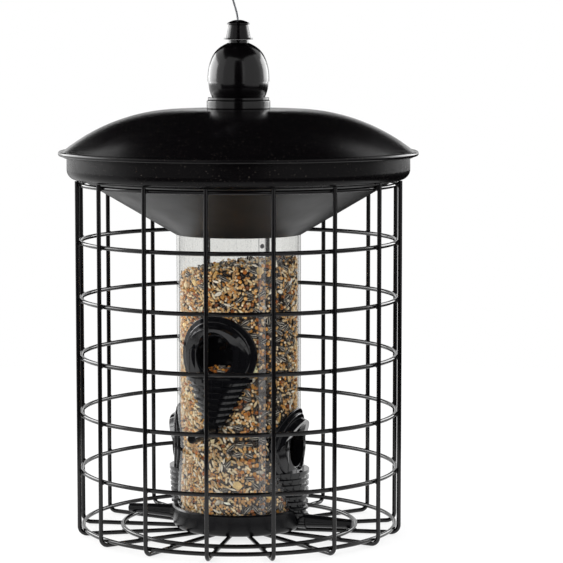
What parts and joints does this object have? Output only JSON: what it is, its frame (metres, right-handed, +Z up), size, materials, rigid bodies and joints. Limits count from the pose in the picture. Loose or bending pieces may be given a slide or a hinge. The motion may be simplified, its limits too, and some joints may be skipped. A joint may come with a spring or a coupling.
{
  "type": "caged bird feeder",
  "caption": "Hanging seed feeder: a clear tube with ribbed feeding ports and perches inside a round wire cage, under a domed lift-up roof with a turned finial and a cable loop.",
  "frame": {"origin": "the centre of the cage floor, on the surface the feeder stands on", "axes": "+Z up through the tube, the rod and the finial; the upper ports face -Y and +Y and the lower ports face +X and -X"},
  "size_m": [0.254, 0.254, 0.4362],
  "materials": {
    "cage_wire": "gloss black powder coat on welded wire",
    "roof_metal": "gloss black powder coat on spun and pressed sheet",
    "port_moulding": "black moulded plastic with a soft sheen",
    "finial_plastic": "glossy black moulded plastic",
    "clear_sheet": "clear rolled plastic sheet, lightly dusted",
    "seed": "dry mixed seed",
    "steel": "plain zinc-plated steel",
    "cable": "stranded steel cable with a clear coat",
    "sleeve_metal": "crimped aluminium sleeve"
  },
  "bodies": {
    "root": {"upright_01": "cage_wire", "upright_02": "cage_wire", "upright_03": "cage_wire", "upright_04": "cage_wire", "upright_05": "cage_wire", "upright_06": "cage_wire", "upright_07": "cage_wire", "upright_08": "cage_wire", "upright_09": "cage_wire", "upright_10": "cage_wire", "upright_11": "cage_wire", "upright_12": "cage_wire", "upright_13": "cage_wire", "upright_14": "cage_wire", "upright_15": "cage_wire", "upright_16": "cage_wire", "hoop_1": "cage_wire", "hoop_2": "cage_wire", "hoop_3": "cage_wire", "hoop_4": "cage_wire", "hoop_5": "cage_wire", "hoop_6": "cage_wire", "hoop_7": "cage_wire", "floor_hoop": "cage_wire", "hub_plate": "cage_wire", "base_screw": "steel", "front_upper_port": "port_moulding", "front_upper_perch": "port_moulding", "front_upper_baffle": "port_moulding", "rear_upper_port": "port_moulding", "rear_upper_perch": "port_moulding", "rear_upper_baffle": "port_moulding", "right_lower_port": "port_moulding", "right_lower_perch": "port_moulding", "right_lower_baffle": "port_moulding", "left_lower_port": "port_moulding", "left_lower_perch": "port_moulding", "left_lower_baffle": "port_moulding", "base_cup": "port_moulding", "feed_tube": "clear_sheet", "seam_rivets": "steel", "seed_fill": "seed", "funnel": "roof_metal", "hopper_pan": "roof_metal", "bridge_bar": "steel"},
    "roof": {"roof_dome": "roof_metal", "roof_skirt": "roof_metal", "collar": "finial_plastic"},
    "finial": {"finial_washer": "finial_plastic", "finial_base": "finial_plastic", "finial_bulb": "finial_plastic", "cable_cap": "finial_plastic", "lock_rod": "steel", "lock_pin": "steel", "rod_clip": "steel", "hanging_cable": "cable", "cable_sleeve": "sleeve_metal"}
  },
  "joints": [
    {"name": "roof_lift", "type": "slide", "parent": "root", "child": "roof", "axis": [0, 0, 1], "range_m": [0, 0.12]},
    {"name": "finial_turn", "type": "hinge", "parent": "roof", "child": "finial", "pos_m": [0, 0, 0.3083], "axis": [0, 0, 1], "range_deg": [-90, 0]}
  ]
}
